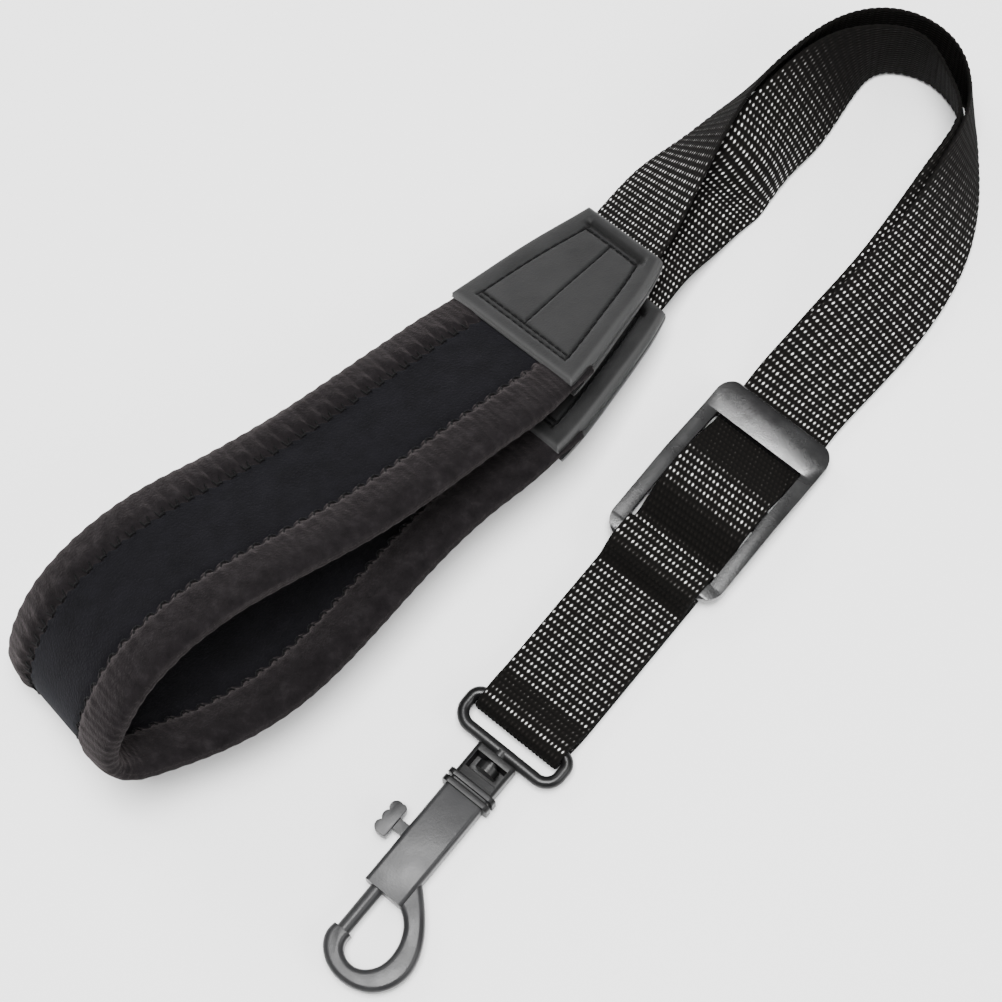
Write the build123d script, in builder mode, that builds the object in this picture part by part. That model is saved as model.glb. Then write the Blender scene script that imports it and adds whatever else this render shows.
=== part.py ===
from build123d import *
import math
import os

import numpy as np

# A saxophone neck strap lying on a table: a padded neck band folded in half, two webbings that
# run side by side round a bend and down to a slider, and a swivel snap hook on the webbing's end.
# Millimetres, +Z up, the table is z = 0. The slider and the hook lie along the Y axis.

os.makedirs("parts", exist_ok=True)

# ---------------------------------------------------------------- driving dimensions
WEB_WIDTH = 25.0
WEB_THICKNESS = 1.1
LAYER_GAP = 0.05
LEAST_DISH = 0.03
TANGENT_STEP = 0.05
LEG_X = 43.7

PAD_WIDTH = 51.0
PAD_HALF_THICKNESS = 2.5
PAD_END_SQUEEZE = 0.34
PAD_SQUEEZE_LENGTH = 14.0
PAD_INTO_PATCH = 8.0
BINDING_REACH = 12.5
BINDING_THICKNESS = 0.65
BINDING_HALF_THICKNESS = 2.4
EDGE_FALL = 1.3
CORE_EDGE_FALL = 1.1
EDGE_SHARE = 0.45
BINDING_ROOT_GAP = 0.1
CORE_STEP = 0.05
PAD_SECTIONS = 56

PATCH_WIDE = 50.0
PATCH_NARROW = 28.6
LEATHER_THICKNESS = 1.35
PATCH_CORE_WIDE = 1.15
PATCH_CORE_NARROW = 0.62
PATCH_FLARE = 1.25
LEATHER_EDGE_DROP = 0.5
LEATHER_EDGE_RUN = 1.0
PATCH_SECTIONS = 9
WEB_INTO_PATCH = 22.0
WEB_SECTIONS = 58

SLIDER_WIDTH = 33.0
SLIDER_THICKNESS = 3.0
SLIDER_SLOT_WIDTH = 25.6
SLIDER_CORNER = 5.0
SLIDER_TOP_BAR = (26.2, 35.7)
SLIDER_BOTTOM_BAR = (-14.5, -10.2)
SLIDER_TOP_Z = 4.1
SLIDER_MIDDLE_Z = 6.9
SLIDER_BOTTOM_Z = 6.3
MIDDLE_BAR_Y = 10.0
MIDDLE_BAR_Z = 6.0
MIDDLE_BAR_SECTION = (6.2, 3.2)
MIDDLE_BAR_CORNER = 1.5
MIDDLE_BAR_ROOT = 1.0
SLIDER_END_ROUND = 1.2
SLIDER_SLOT_CORNER = 0.6
SLIDER_CUT_HEIGHT = 20.0

RING_BAR_RADIUS = 1.5
RING_RAIL_Y = -63.2
RING_FRONT_Y = -71.5
RING_WIDTH = 30.8
RING_CORNERS = [2.5, 3.9, 3.9, 2.5]
RAIL_END = 5.0
LOOP_WIDTH = 24.0
AXIS_Z = 3.95
STEM_RADIUS = 1.7
STEM_HEAD_RADIUS = 2.8
STEM_HEAD = (-78.0, -76.0)
FIT = 0.05

COLLAR_TOP_Y = -73.3
COLLAR_PLATE_Y = -75.2
COLLAR_WINDOW_Y = -79.6
COLLAR_WIDTH = 10.8
COLLAR_HEIGHT = 6.8
COLLAR_CORNER = 1.0
WINDOW_WIDTH = 8.8
WINDOW_HEIGHT = 7.9
WINDOW_FLOOR = -2.95
RIDGES = ((-83.3, -81.9), (-85.5, -84.0))
RIDGE_WIDTH = 13.2
RIDGE_HEIGHT = 7.9
RIDGE_CORNER = 1.6

BARREL_TOP_Y = -85.5
BARREL_END_Y = -114.3
BARREL_WIDTH = 10.8
BARREL_HEIGHT = 6.4
BARREL_CORNER = 1.2
SPIGOT_RADIUS = 2.6
SPIGOT_LENGTH = 5.0
SPIGOT_END_GAP = 0.3
CLAW_THICKNESS = 5.0
CLAW_ROUND = 1.5
BOLT_OFFSET = -2.0
BOLT_RADIUS = 1.7
BOLT_TIP_Y = -127.4
BOLT_TIP_CHAMFER = 0.3
BOLT_TIP_GAP = 0.15
BORE_OVERLAP = 1.0
PISTON_RADIUS = 2.3
PISTON = (-105.8, -97.6)
CHAMBER = (-106.0, -86.6)
BOLT_TRAVEL = 8.0
SLOT_CLEARANCE = 0.2
LEVER_Y = -100.0
LEVER_STEM = (3.0, 2.0)
LEVER_HEAD_LENGTH = 8.8
LEVER_HEAD_THICKNESS = 3.0
LEVER_HEIGHT = 3.6
LEVER_HEAD_OFFSET = -9.7
LEVER_ROOT = 0.6
LEVER_WEB_THICKNESS = 2.0
LEVER_WEB_CORNER = 0.9
LEVER_LOBE_SHARE = 0.19
SPRING_RADIUS = 1.9
SPRING_WIRE = 0.25
SPRING_TURNS = 5
SPRING_END_GAP = 0.05

# ---------------------------------------------------------------- the route of the neck loop
# Each station is the middle of the webbing or pad: x, y, z, then the azimuth and elevation in
# degrees of the direction across it, from its far edge to its near edge, and how far its
# cross-section dishes. It starts at the slider, goes round the bend and over the pad's upper run,
# turns at the pad's fold and comes back along the lower run and the inner webbing to the slider.
ROUTE = [
    (43.7, 37.0, 1.78, 180, 0, 0), (43.8, 43.0, 2.9, 179, 4, 0), (44.4, 50.0, 4.6, 178, 12, 0),
    (45.8, 61.0, 6.6, 178, 23, 0), (46.7, 71.5, 8.2, 181, 29, 0), (46.7, 81.4, 9.0, 187, 34, 0),
    (46.0, 91.0, 9.9, 195, 41, 0), (44.2, 100.6, 11.0, 204, 50, 0), (41.0, 110.0, 12.1, 214, 60, 0),
    (36.7, 120.0, 12.9, 222, 73, 0), (29.2, 129.4, 12.9, 230, 80, 0), (19.8, 133.6, 12.9, 250, 86, 0),
    (4.4, 131.4, 12.9, 280, 88, 0), (-5.0, 123.0, 12.9, 315, 86, 0), (-11.2, 109.0, 12.8, 348, 80, 0),
    (-14.5, 93.0, 12.6, 349, 71, 0), (-15.1, 78.3, 11.4, 348, 58, 0), (-14.9, 63.5, 10.0, 348, 38, 0),
    (-13.0, 45.5, 12.4, 350, 26, 0), (-13.2, 25.0, 18.3, 349, 28, 0), (-14.2, 2.3, 24.0, 350, 30, 0),
    (-17.4, -20.4, 30.4, 351, 30, 0), (-23.6, -52.2, 37.0, 350, 30, 0), (-29.5, -72.8, 41.0, 348, 31, 0),
    (-33.8, -87.3, 43.8, 345, 31, 0), (-36.9, -103.0, 44.6, 346, 31, 0), (-37.8, -115.0, 42.1, 348, 31, 0),
    (-37.6, -123.3, 36.2, 349, 31, 0), (-37.0, -128.4, 29.4, 350, 32, 0), (-35.6, -130.0, 23.4, 350, 32, 0),
    (-33.2, -128.3, 19.4, 350, 32, 0), (-29.2, -121.2, 16.9, 348, 31, 0), (-22.0, -107.6, 16.3, 346, 31, 0),
    (-16.8, -91.2, 16.0, 346, 30, 0), (-14.8, -72.2, 15.8, 347, 30, 0), (-14.3, -50.0, 15.5, 348, 30, 0),
    (-12.9, -30.0, 15.1, 350, 29, 0),
    (-8.9, -9.5, 14.3, 351, 28, 0), (-6.5, 14.0, 12.3, 350, 26, 0), (-5.6, 37.0, 9.3, 350, 20, 0),
    (-7.3, 49.5, 6.6, 353, 11, 0), (-7.3, 61.0, 3.3, 357, 2, 0), (-6.2, 71.0, 2.8, 360, -8, 2.0),
    (-3.0, 80.0, 7.2, 360, -36, 4.5), (-2.9, 89.2, 9.2, 361, -43, 3.4), (-2.1, 98.3, 9.9, 362, -47, 1.2),
    (-1.5, 107.0, 10.9, 365, -54, 0), (0.0, 116.5, 12.5, 366, -68, 0), (6.1, 126.2, 13.4, 405, -89, 0),
    (14.2, 129.9, 13.1, 460, -84, 0), (24.1, 127.8, 13.2, 445, -76, 0), (35.3, 118.7, 13.8, 405, -73, 0),
    (39.0, 108.8, 13.4, 394, -60, 0), (43.3, 90.5, 9.8, 375, -41, 0), (44.8, 71.5, 7.2, 361, -29, 0),
    (44.5, 61.0, 5.7, 358, -23, 0), (44.1, 50.0, 3.3, 358, -12, 0), (43.6, 43.0, 1.65, 359, -4, 0),
    (43.7, 37.0, 0.6, 360, 0, 0),
]
UPPER_PATCH_NARROW = 18
UPPER_PATCH_WIDE = 20
LOWER_PATCH_WIDE = 37
LOWER_PATCH_NARROW = 39
LAST = len(ROUTE) - 1


def natural_spline(knots, values):
    """Second derivatives of the natural cubic spline through the values at the knots."""
    count = len(knots)
    steps = np.diff(knots)
    matrix = np.eye(count)
    right = np.zeros_like(values)
    for i in range(1, count - 1):
        matrix[i, i - 1] = steps[i - 1] / 6
        matrix[i, i] = (steps[i - 1] + steps[i]) / 3
        matrix[i, i + 1] = steps[i] / 6
        right[i] = (values[i + 1] - values[i]) / steps[i] - (values[i] - values[i - 1]) / steps[i - 1]
    return np.linalg.solve(matrix, right)


def route_values():
    """Rows of x, y, z, the unit vector across, and the dish, one for each station."""
    rows = []
    for x, y, z, azimuth, elevation, dish in ROUTE:
        a = math.radians(azimuth)
        e = math.radians(elevation)
        rows.append((x, y, z, math.cos(e) * math.cos(a), math.cos(e) * math.sin(a), math.sin(e), dish))
    return np.array(rows)


VALUES = route_values()
KNOTS = np.concatenate([[0.0], np.cumsum(np.linalg.norm(np.diff(VALUES[:, :3], axis=0), axis=1))])
CURVATURES = natural_spline(KNOTS, VALUES)


def on_route(s):
    """Position, across direction and dish at the distance s along the route."""
    i = int(np.clip(np.searchsorted(KNOTS, s) - 1, 0, LAST - 1))
    step = KNOTS[i + 1] - KNOTS[i]
    b = (s - KNOTS[i]) / step
    a = 1 - b
    bend = ((a**3 - a) * CURVATURES[i] + (b**3 - b) * CURVATURES[i + 1]) * step * step / 6
    return a * VALUES[i] + b * VALUES[i + 1] + bend


def section_plane(s):
    """The plane across the route: local X runs across the webbing, local Y out of its outer face."""
    here = on_route(s)
    along = on_route(s + TANGENT_STEP)[:3] - on_route(s - TANGENT_STEP)[:3]
    across = here[3:6] / np.linalg.norm(here[3:6])
    along = along - np.dot(along, across) * across
    return Plane(origin=tuple(here[:3]), x_dir=tuple(across), z_dir=tuple(along))


def between(start, end, count):
    """Distances along the route, evenly spaced from start to end."""
    return [float(s) for s in np.linspace(start, end, count)]


def export(part, name):
    part.label = name
    export_step(part, f"parts/{name}.step")


def lofted(name, distances, outline):
    """A strip with the cross-section outline(s), a closed list of points, at each distance."""
    with BuildPart() as strip:
        for s in distances:
            with BuildSketch(section_plane(s)):
                with BuildLine():
                    Polyline(*outline(s), close=True)
                make_face()
        loft(ruled=True)
    export(strip.part, name)


# ---------------------------------------------------------------- padded band
def pad_squeeze(s):
    """How far the band is pressed flat: 1 in the open, less where a patch is sewn over it."""
    start = KNOTS[UPPER_PATCH_WIDE]
    end = KNOTS[LOWER_PATCH_WIDE]
    inward = min(s - start, end - s)
    share = min(max(inward / PAD_SQUEEZE_LENGTH, 0.0), 1.0)
    return PAD_END_SQUEEZE + (1 - PAD_END_SQUEEZE) * math.sin(share * math.pi / 2)


def pad_half_width(s):
    share = (pad_squeeze(s) - PAD_END_SQUEEZE) / (1 - PAD_END_SQUEEZE)
    return PAD_WIDTH / 2 - EDGE_FALL * (1 - share)


def core_outline(s):
    """The band's core: full thickness in the middle, thinner where the bindings wrap it."""
    edge = pad_half_width(s) - BINDING_THICKNESS - LAYER_GAP
    step = PAD_WIDTH / 2 - BINDING_REACH - BINDING_ROOT_GAP
    full = PAD_HALF_THICKNESS * pad_squeeze(s)
    thin = (BINDING_HALF_THICKNESS - BINDING_THICKNESS - LAYER_GAP) * pad_squeeze(s)
    side = [(step, full), (step + CORE_STEP, thin), (edge - CORE_EDGE_FALL, thin), (edge, thin * EDGE_SHARE)]
    upper = [(-u, v) for u, v in reversed(side)] + side
    lower = [(u, -v) for u, v in reversed(upper)]
    return upper + lower


def binding_outline(s, side):
    """A fabric binding folded round one edge of the band, as a C."""
    edge = pad_half_width(s)
    root = PAD_WIDTH / 2 - BINDING_REACH
    outer = BINDING_HALF_THICKNESS * pad_squeeze(s)
    inner = outer - BINDING_THICKNESS * pad_squeeze(s)
    upper = [(root, inner), (root, outer), (edge - EDGE_FALL, outer), (edge, outer * EDGE_SHARE)]
    inside = edge - BINDING_THICKNESS
    hollow = [(inside, inner * EDGE_SHARE), (inside - CORE_EDGE_FALL, inner)]
    points = upper + [(u, -v) for u, v in reversed(upper)]
    points += [(u, -v) for u, v in reversed(hollow)] + hollow
    return [(side * u, v) for u, v in points]


def padded_band():
    start = KNOTS[UPPER_PATCH_WIDE] - PAD_INTO_PATCH
    end = KNOTS[LOWER_PATCH_WIDE] + PAD_INTO_PATCH
    distances = between(start, end, PAD_SECTIONS)
    lofted("pad_core", distances, core_outline)
    lofted("pad_binding_left", distances, lambda s: binding_outline(s, -1))
    lofted("pad_binding_right", distances, lambda s: binding_outline(s, 1))


# ---------------------------------------------------------------- leather end patches
def leather_outline(s, narrow, wide, side):
    """One leather layer of an end patch, between its narrow and its wide end."""
    share = (s - narrow) / (wide - narrow)
    half = (PATCH_NARROW + (PATCH_WIDE - PATCH_NARROW) * (1 - (1 - share) ** PATCH_FLARE)) / 2
    near = PATCH_CORE_NARROW + (PATCH_CORE_WIDE - PATCH_CORE_NARROW) * share
    far = near + LEATHER_THICKNESS
    crown = half - LEATHER_EDGE_RUN
    shoulder = far - LEATHER_EDGE_DROP
    points = [(-half, near), (half, near), (half, shoulder), (crown, far), (-crown, far), (-half, shoulder)]
    return [(u, side * v) for u, v in points]


def end_patches():
    for place, narrow_station, wide_station in (
        ("upper", UPPER_PATCH_NARROW, UPPER_PATCH_WIDE),
        ("lower", LOWER_PATCH_NARROW, LOWER_PATCH_WIDE),
    ):
        narrow = KNOTS[narrow_station]
        wide = KNOTS[wide_station]
        for layer, side in (("outer", 1), ("inner", -1)):
            lofted(
                f"{place}_patch_{layer}",
                between(narrow, wide, PATCH_SECTIONS),
                lambda s: leather_outline(s, narrow, wide, side),
            )


# ---------------------------------------------------------------- webbing of the neck loop
def chord_half_width(dish):
    """Half the straight width of a webbing whose cross-section dishes by this much."""
    return (WEB_WIDTH + math.sqrt(WEB_WIDTH**2 - 32 * dish**2 / 3)) / 4


def webbing_outline(s, shares):
    """The webbing's cross-section, with points at these shares of its half width."""
    dish = max(float(on_route(s)[6]), LEAST_DISH)
    half = chord_half_width(dish)
    upper = [(half * k, WEB_THICKNESS / 2 - dish * (1 - k * k)) for k in shares]
    lower = [(half * k, -WEB_THICKNESS / 2 - dish * (1 - k * k)) for k in reversed(shares)]
    return upper + lower


def webbing_runs():
    outer_end = KNOTS[UPPER_PATCH_NARROW] + WEB_INTO_PATCH
    inner_start = KNOTS[LOWER_PATCH_NARROW] - WEB_INTO_PATCH
    lofted(
        "outer_webbing_run",
        between(0.0, outer_end, WEB_SECTIONS),
        lambda s: webbing_outline(s, (-1, 1)),
    )
    lofted(
        "inner_webbing_run",
        between(inner_start, KNOTS[LAST], WEB_SECTIONS),
        lambda s: webbing_outline(s, (-1, -0.5, 0, 0.5, 1)),
    )


# ---------------------------------------------------------------- webbing at the slider and ring
# Side views in the plane x = LEG_X, as (y, z) points of the line between the two layers.
FLAT_Z = 1.175
THREADED_PATH = ([(36.7, FLAT_Z), (25.5, FLAT_Z), (13.4, 8.95), (3.6, 8.95), (-4.2, FLAT_Z),
                  (-14.0, FLAT_Z)], [3.5, 6.0, 6.0, 3.5])
TAIL_PATH = ([(-22.7, 3.5), (-19.4, 3.5), (-15.8, 9.05), (-8.95, 9.05), (-8.95, 3.55), (-16.7, 3.55)],
             [3.0, 3.0, 1.4, 1.4])
LOOP_PATH = ([(-53.3, FLAT_Z), (-65.975, FLAT_Z), (-65.975, 6.725), (-61.9, 6.725), (-55.5, 3.52),
              (-53.3, 3.52)], [2.7, 2.7, 3.0, 3.0])
LOWER_SPAN = ([(-14.3, FLAT_Z), (-53.0, FLAT_Z)], [])
RETURN_SPAN = ([(-53.0, 3.52), (-23.0, 3.52)], [])


def shifted(points, radii, distance):
    """A line of points moved sideways to its left, with the bend radii that stay concentric."""
    ends = np.array(points, dtype=float)
    ways = np.diff(ends, axis=0)
    ways = ways / np.linalg.norm(ways, axis=1)[:, None]
    moved = []
    bends = []
    for i in range(len(ends)):
        before = ways[max(i - 1, 0)]
        after = ways[min(i, len(ways) - 1)]
        normals = np.array([-before[1] - after[1], before[0] + after[0]])
        moved.append(tuple(ends[i] + distance * normals / (1 + np.dot(before, after))))
        if 0 < i < len(ends) - 1:
            turn = before[0] * after[1] - before[1] * after[0]
            bends.append(radii[i - 1] - distance * math.copysign(1, turn))
    return moved, bends


def layer_edge(points, radii, distance):
    """One long edge of a layer's side view."""
    moved, bends = shifted(points, radii, distance)
    if bends:
        return FilletPolyline(*moved, radius=bends)
    return Line(*moved)


def layer(name, path, side, width=WEB_WIDTH):
    """One webbing layer beside the path: side -1 is the outer webbing, 1 the inner one."""
    near = side * LAYER_GAP / 2
    far = side * (LAYER_GAP / 2 + WEB_THICKNESS)
    with BuildPart() as webbing:
        with BuildSketch(Plane.YZ.offset(LEG_X)):
            with BuildLine():
                near_edge = layer_edge(*path, near)
                far_edge = layer_edge(*path, far)
                Line(near_edge @ 0, far_edge @ 0)
                Line(near_edge @ 1, far_edge @ 1)
            make_face()
        extrude(amount=width / 2, both=True)
    export(webbing.part, name)


def webbing_leg():
    for stretch, path, width in (
        ("threaded", THREADED_PATH, WEB_WIDTH),
        ("tail", TAIL_PATH, WEB_WIDTH),
        ("lower", LOWER_SPAN, WEB_WIDTH),
        ("return", RETURN_SPAN, WEB_WIDTH),
        ("loop", LOOP_PATH, LOOP_WIDTH),
    ):
        layer(f"outer_webbing_{stretch}", path, -1, width)
        layer(f"inner_webbing_{stretch}", path, 1, width)


# ---------------------------------------------------------------- slider
def slider_frame():
    """A moulded frame, arched over its middle bar, with a wide top bar and a slim bottom bar."""
    top_y = SLIDER_TOP_BAR[1]
    bottom_y = SLIDER_BOTTOM_BAR[0]
    middle_y = (top_y + bottom_y) / 2
    half = SLIDER_THICKNESS / 2
    with BuildPart() as frame:
        with BuildSketch(Plane.YZ.offset(LEG_X)):
            with BuildLine():
                Polyline(
                    (top_y, SLIDER_TOP_Z - half), (SLIDER_TOP_BAR[0], SLIDER_TOP_Z - half),
                    (MIDDLE_BAR_Y, SLIDER_MIDDLE_Z - half), (SLIDER_BOTTOM_BAR[1], SLIDER_BOTTOM_Z - half),
                    (bottom_y, SLIDER_BOTTOM_Z - half), (bottom_y, SLIDER_BOTTOM_Z + half),
                    (SLIDER_BOTTOM_BAR[1], SLIDER_BOTTOM_Z + half), (MIDDLE_BAR_Y, SLIDER_MIDDLE_Z + half),
                    (SLIDER_TOP_BAR[0], SLIDER_TOP_Z + half), (top_y, SLIDER_TOP_Z + half), close=True,
                )
            make_face()
        extrude(amount=SLIDER_WIDTH / 2, both=True)
        fillet(frame.edges().filter_by(Axis.X).group_by(Axis.Y)[0], SLIDER_END_ROUND)
        fillet(frame.edges().filter_by(Axis.X).group_by(Axis.Y)[-1], SLIDER_END_ROUND)
        with BuildSketch(Plane.XY):
            with Locations((LEG_X, middle_y)):
                RectangleRounded(SLIDER_WIDTH, top_y - bottom_y, SLIDER_CORNER)
        extrude(amount=SLIDER_CUT_HEIGHT, mode=Mode.INTERSECT)
        slot_length = SLIDER_TOP_BAR[0] - SLIDER_BOTTOM_BAR[1]
        with BuildSketch(Plane.XY):
            with Locations((LEG_X, (SLIDER_TOP_BAR[0] + SLIDER_BOTTOM_BAR[1]) / 2)):
                RectangleRounded(SLIDER_SLOT_WIDTH, slot_length, SLIDER_SLOT_CORNER)
        extrude(amount=SLIDER_CUT_HEIGHT, mode=Mode.SUBTRACT)
        with BuildSketch(Plane.YZ.offset(LEG_X)):
            with Locations((MIDDLE_BAR_Y, MIDDLE_BAR_Z)):
                RectangleRounded(*MIDDLE_BAR_SECTION, MIDDLE_BAR_CORNER)
        extrude(amount=SLIDER_SLOT_WIDTH / 2 + MIDDLE_BAR_ROOT, both=True)
    export(frame.part, "slider_frame")


# ---------------------------------------------------------------- ring, collar, hook, bolt
def along_hook(y, offset=0.0):
    """A sketch plane square to the hook's axis: local X is the row's X, local Y is up."""
    return Plane(origin=(LEG_X + offset, y, AXIS_Z), x_dir=(1, 0, 0), z_dir=(0, -1, 0))


def swivel_ring():
    """A flat ring of round bar for the webbing, with a headed stem for the hook to turn on."""
    half = RING_WIDTH / 2 - RING_BAR_RADIUS
    corners = [(half, RING_RAIL_Y), (half, RING_FRONT_Y), (-half, RING_FRONT_Y), (-half, RING_RAIL_Y)]
    with BuildPart() as ring:
        with BuildLine():
            rail = Line((LEG_X, RING_RAIL_Y, AXIS_Z), (LEG_X + half - RAIL_END, RING_RAIL_Y, AXIS_Z))
            FilletPolyline(
                rail @ 1, *[(LEG_X + u, y, AXIS_Z) for u, y in corners], rail @ 0,
                radius=RING_CORNERS,
            )
        with BuildSketch(Plane(origin=(LEG_X, RING_RAIL_Y, AXIS_Z), x_dir=(0, 1, 0), z_dir=(1, 0, 0))):
            Circle(RING_BAR_RADIUS)
        sweep()
        with BuildSketch(along_hook(RING_FRONT_Y)):
            Circle(STEM_RADIUS)
        extrude(amount=RING_FRONT_Y - STEM_HEAD[0])
        with BuildSketch(along_hook(STEM_HEAD[1])):
            Circle(STEM_HEAD_RADIUS)
        extrude(amount=STEM_HEAD[1] - STEM_HEAD[0])
    export(ring.part, "swivel_ring")


def swivel_collar():
    """The housing that holds the stem's head: a plate with a hole, a pocket open above and two ridges."""
    with BuildPart() as collar:
        with BuildSketch(along_hook(COLLAR_TOP_Y)):
            RectangleRounded(COLLAR_WIDTH, COLLAR_HEIGHT, COLLAR_CORNER)
        extrude(amount=COLLAR_TOP_Y - BARREL_TOP_Y)
        for low, high in RIDGES:
            with BuildSketch(along_hook(high)):
                RectangleRounded(RIDGE_WIDTH, RIDGE_HEIGHT, RIDGE_CORNER)
            extrude(amount=high - low)
        with BuildSketch(along_hook(COLLAR_TOP_Y)):
            Circle(STEM_RADIUS + FIT)
        extrude(amount=COLLAR_TOP_Y - COLLAR_WINDOW_Y, mode=Mode.SUBTRACT)
        with BuildSketch(along_hook(COLLAR_PLATE_Y)):
            with Locations((0, WINDOW_FLOOR + WINDOW_HEIGHT / 2)):
                Rectangle(WINDOW_WIDTH, WINDOW_HEIGHT)
        extrude(amount=COLLAR_PLATE_Y - COLLAR_WINDOW_Y, mode=Mode.SUBTRACT)
        with BuildSketch(along_hook(BARREL_TOP_Y + SPIGOT_LENGTH)):
            Circle(SPIGOT_RADIUS)
        extrude(amount=SPIGOT_LENGTH, mode=Mode.SUBTRACT)
    export(collar.part, "swivel_collar")


def claw_face():
    """The claw's outline, seen from above, from its root beside the barrel to its blunt tip."""
    outer = [(3.8, -105.5), (9.5, -111.0), (15.0, -118.8), (16.3, -126.0), (12.5, -133.0),
             (6.5, -135.4), (0.0, -134.4), (-3.9, -130.8), (-4.4, -126.3)]
    inner = [(0.4, -126.3), (1.2, -129.7), (5.0, -131.2), (9.3, -128.4), (10.4, -122.5),
             (8.0, -116.8), (3.0, -113.9)]
    with BuildSketch(Plane.XY.offset(AXIS_Z)) as face:
        with BuildLine():
            edge = Spline(*[(LEG_X + u, y) for u, y in outer])
            hollow = Spline(*[(LEG_X + u, y) for u, y in inner])
            Line(edge @ 1, hollow @ 0)
            Polyline(hollow @ 1, (LEG_X + 3.0, -106.0), edge @ 0)
        make_face()
    return face.sketch


def hook_body():
    """A flat barrel with a bore for the bolt, and a claw that the bolt's tip closes."""
    claw = claw_face()
    with BuildPart() as body:
        add(claw)
        extrude(amount=CLAW_THICKNESS / 2, both=True)
        fillet(body.edges().filter_by(Axis.Z, reverse=True).sort_by(SortBy.LENGTH)[-4:], CLAW_ROUND)
        with BuildSketch(along_hook(BARREL_TOP_Y)):
            RectangleRounded(BARREL_WIDTH, BARREL_HEIGHT, BARREL_CORNER)
        extrude(amount=BARREL_TOP_Y - BARREL_END_Y)
        with BuildSketch(along_hook(BARREL_TOP_Y + SPIGOT_LENGTH - SPIGOT_END_GAP)):
            Circle(SPIGOT_RADIUS)
        extrude(amount=SPIGOT_LENGTH)
        with BuildSketch(along_hook(CHAMBER[1], BOLT_OFFSET)):
            Circle(PISTON_RADIUS + FIT)
        extrude(amount=CHAMBER[1] - CHAMBER[0], mode=Mode.SUBTRACT)
        with BuildSketch(along_hook(CHAMBER[0] + BORE_OVERLAP, BOLT_OFFSET)):
            Circle(BOLT_RADIUS + FIT)
        extrude(amount=CHAMBER[0] + BORE_OVERLAP - BOLT_TIP_Y + BOLT_TIP_GAP, mode=Mode.SUBTRACT)
        slot_end = LEVER_Y + BOLT_TRAVEL
        with BuildSketch(Plane.YZ.offset(LEG_X + BOLT_OFFSET)):
            with Locations(((LEVER_Y + slot_end) / 2, AXIS_Z)):
                Rectangle(BOLT_TRAVEL + LEVER_STEM[0] + 2 * SLOT_CLEARANCE, LEVER_STEM[1] + SLOT_CLEARANCE)
        extrude(amount=-BARREL_WIDTH, mode=Mode.SUBTRACT)
    export(body.part, "hook_body")


def spring_bolt():
    """The round bolt: a piston in the barrel and a rod that reaches the claw's tip."""
    with BuildPart() as bolt:
        with BuildSketch(along_hook(PISTON[1], BOLT_OFFSET)):
            Circle(PISTON_RADIUS)
        extrude(amount=PISTON[1] - PISTON[0])
        with BuildSketch(along_hook(PISTON[0] + BORE_OVERLAP, BOLT_OFFSET)):
            Circle(BOLT_RADIUS)
        extrude(amount=PISTON[0] + BORE_OVERLAP - BOLT_TIP_Y)
        chamfer(bolt.edges().sort_by(Axis.Y)[0], BOLT_TIP_CHAMFER)
        with BuildSketch(Plane.YZ.offset(LEG_X + BOLT_OFFSET - LEVER_ROOT)):
            with Locations((LEVER_Y, AXIS_Z)):
                Rectangle(*LEVER_STEM)
        extrude(amount=-BARREL_WIDTH, mode=Mode.SUBTRACT)
    export(bolt.part, "spring_bolt")


def thumb_lever():
    """A T-shaped thumb piece with a scalloped outer side, pressed into the bolt's piston."""
    lobe = LEVER_LOBE_SHARE * LEVER_HEAD_LENGTH
    spacing = LEVER_HEAD_LENGTH / 2 - lobe
    inner_x = LEG_X + LEVER_HEAD_OFFSET + LEVER_HEAD_THICKNESS / 2
    outer_x = inner_x - LEVER_HEAD_THICKNESS + lobe / 2
    web_x = inner_x - LEVER_WEB_THICKNESS / 2
    with BuildPart() as lever:
        with BuildSketch(Plane.XY.offset(AXIS_Z)):
            with Locations((web_x, LEVER_Y)):
                RectangleRounded(LEVER_WEB_THICKNESS, LEVER_HEAD_LENGTH, LEVER_WEB_CORNER)
            for k in (-1, 0, 1):
                with Locations((outer_x, LEVER_Y + k * spacing)):
                    Circle(lobe)
        extrude(amount=LEVER_HEIGHT / 2, both=True)
        stem_start = LEG_X + BOLT_OFFSET - LEVER_ROOT
        with BuildSketch(Plane.YZ.offset(stem_start)):
            with Locations((LEVER_Y, AXIS_Z)):
                Rectangle(*LEVER_STEM)
        extrude(amount=web_x - stem_start)
    export(lever.part, "thumb_lever")


def bolt_spring():
    """The coil spring behind the piston."""
    start = PISTON[1] + SPRING_WIRE + SPRING_END_GAP
    end = CHAMBER[1] - SPRING_WIRE - SPRING_END_GAP
    length = end - start
    with BuildPart() as spring:
        with BuildLine():
            coil = Helix(
                length / SPRING_TURNS, length, SPRING_RADIUS,
                center=(LEG_X + BOLT_OFFSET, end, AXIS_Z), direction=(0, -1, 0),
            )
        with BuildSketch(Plane(origin=coil @ 0, z_dir=coil % 0)):
            Circle(SPRING_WIRE)
        sweep(path=coil, is_frenet=True)
    export(spring.part, "bolt_spring")


padded_band()
end_patches()
webbing_runs()
webbing_leg()
slider_frame()
swivel_ring()
swivel_collar()
hook_body()
spring_bolt()
thumb_lever()
bolt_spring()
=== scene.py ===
import math

import bmesh
import bpy
import numpy as np
from mathutils import Matrix, Vector


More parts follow.
